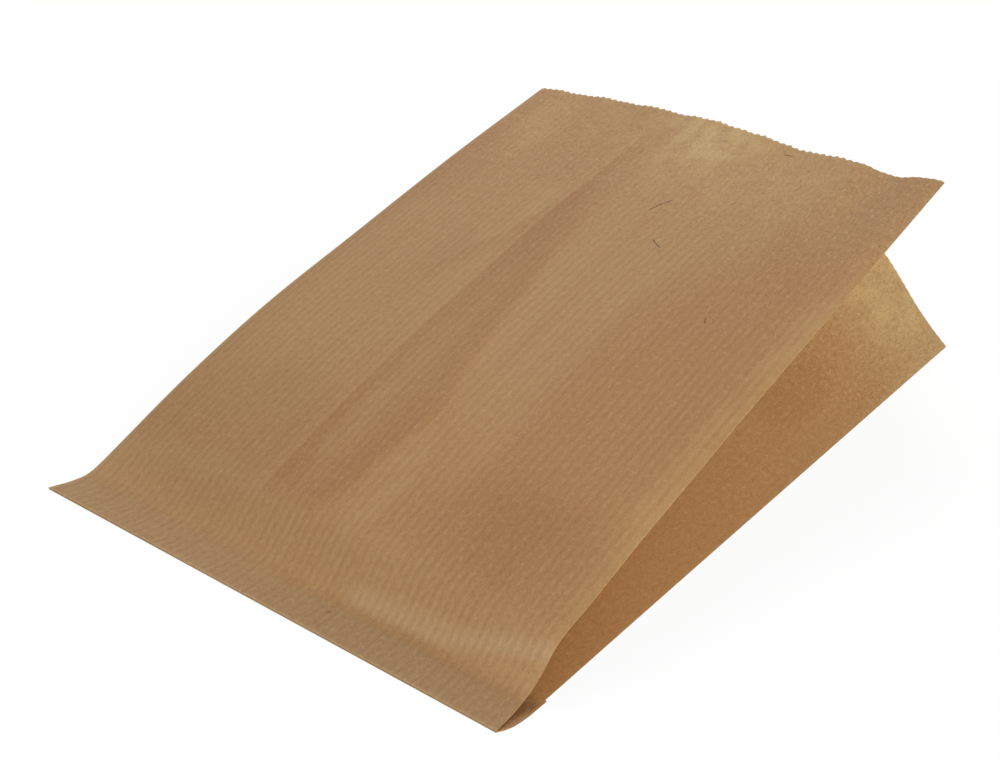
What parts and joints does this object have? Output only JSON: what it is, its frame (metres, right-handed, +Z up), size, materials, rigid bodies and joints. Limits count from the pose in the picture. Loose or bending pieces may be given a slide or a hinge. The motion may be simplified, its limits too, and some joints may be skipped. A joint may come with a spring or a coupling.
{
  "type": "paper bag",
  "caption": "Flat brown ribbed-kraft food bag with folded-in sides and a zig-zag cut mouth, lying on its back with the mouth sprung open.",
  "frame": {"origin": "centre of the bounding box at the underside, on the table the bag lies on", "axes": "+Y along the bag from the bottom fold to the open mouth, +X across it, +Z up from the table"},
  "size_m": [0.1436, 0.1934, 0.0567],
  "materials": {
    "brown_kraft": "uncoated ribbed brown kraft, matt with a faint machine glaze"
  },
  "bodies": {
    "root": {"paper_bag": "brown_kraft"}
  },
  "joints": []
}
